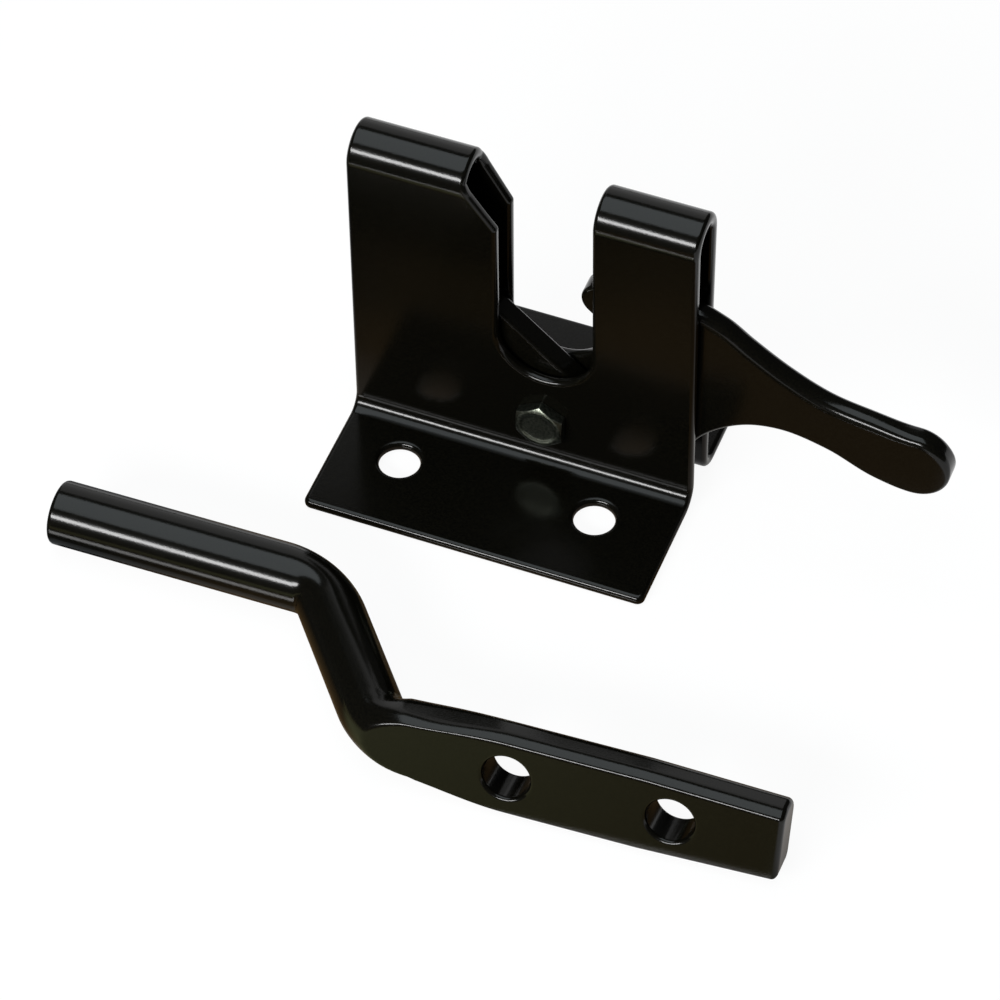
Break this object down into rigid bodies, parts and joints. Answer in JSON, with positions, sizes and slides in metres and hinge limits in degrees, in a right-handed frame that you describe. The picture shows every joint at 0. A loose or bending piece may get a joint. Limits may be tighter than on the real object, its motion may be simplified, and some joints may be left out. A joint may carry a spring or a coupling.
{
  "type": "gate latch",
  "caption": "Folded sheet-metal catch with an open slot and a pivoting hooked lever, and the offset strike bar whose round rod it holds; both bolt on through plain holes.",
  "frame": {"origin": "centre of the four flange holes, on the face that seats on the post", "axes": "+Z away from the post, +X along the folded wall towards the lever's handle, +Y away from the strike bar that lies in front"},
  "size_m": [0.1565, 0.1159, 0.0731],
  "materials": {
    "black_coat": "semi-gloss black coat with a fine texture",
    "zinc": "bright zinc plate"
  },
  "bodies": {
    "latch_base": {"latch_body": "black_coat", "pivot_bolt": "zinc", "pivot_nut": "zinc", "strike_bar": "black_coat"},
    "lever": {"latch_lever": "black_coat"}
  },
  "joints": [
    {"name": "lever_pivot", "type": "hinge", "parent": "latch_base", "child": "lever", "pos_m": [0.00515, 0, 0.0124], "axis": [0, -1, 0], "range_deg": [0, 42]}
  ]
}
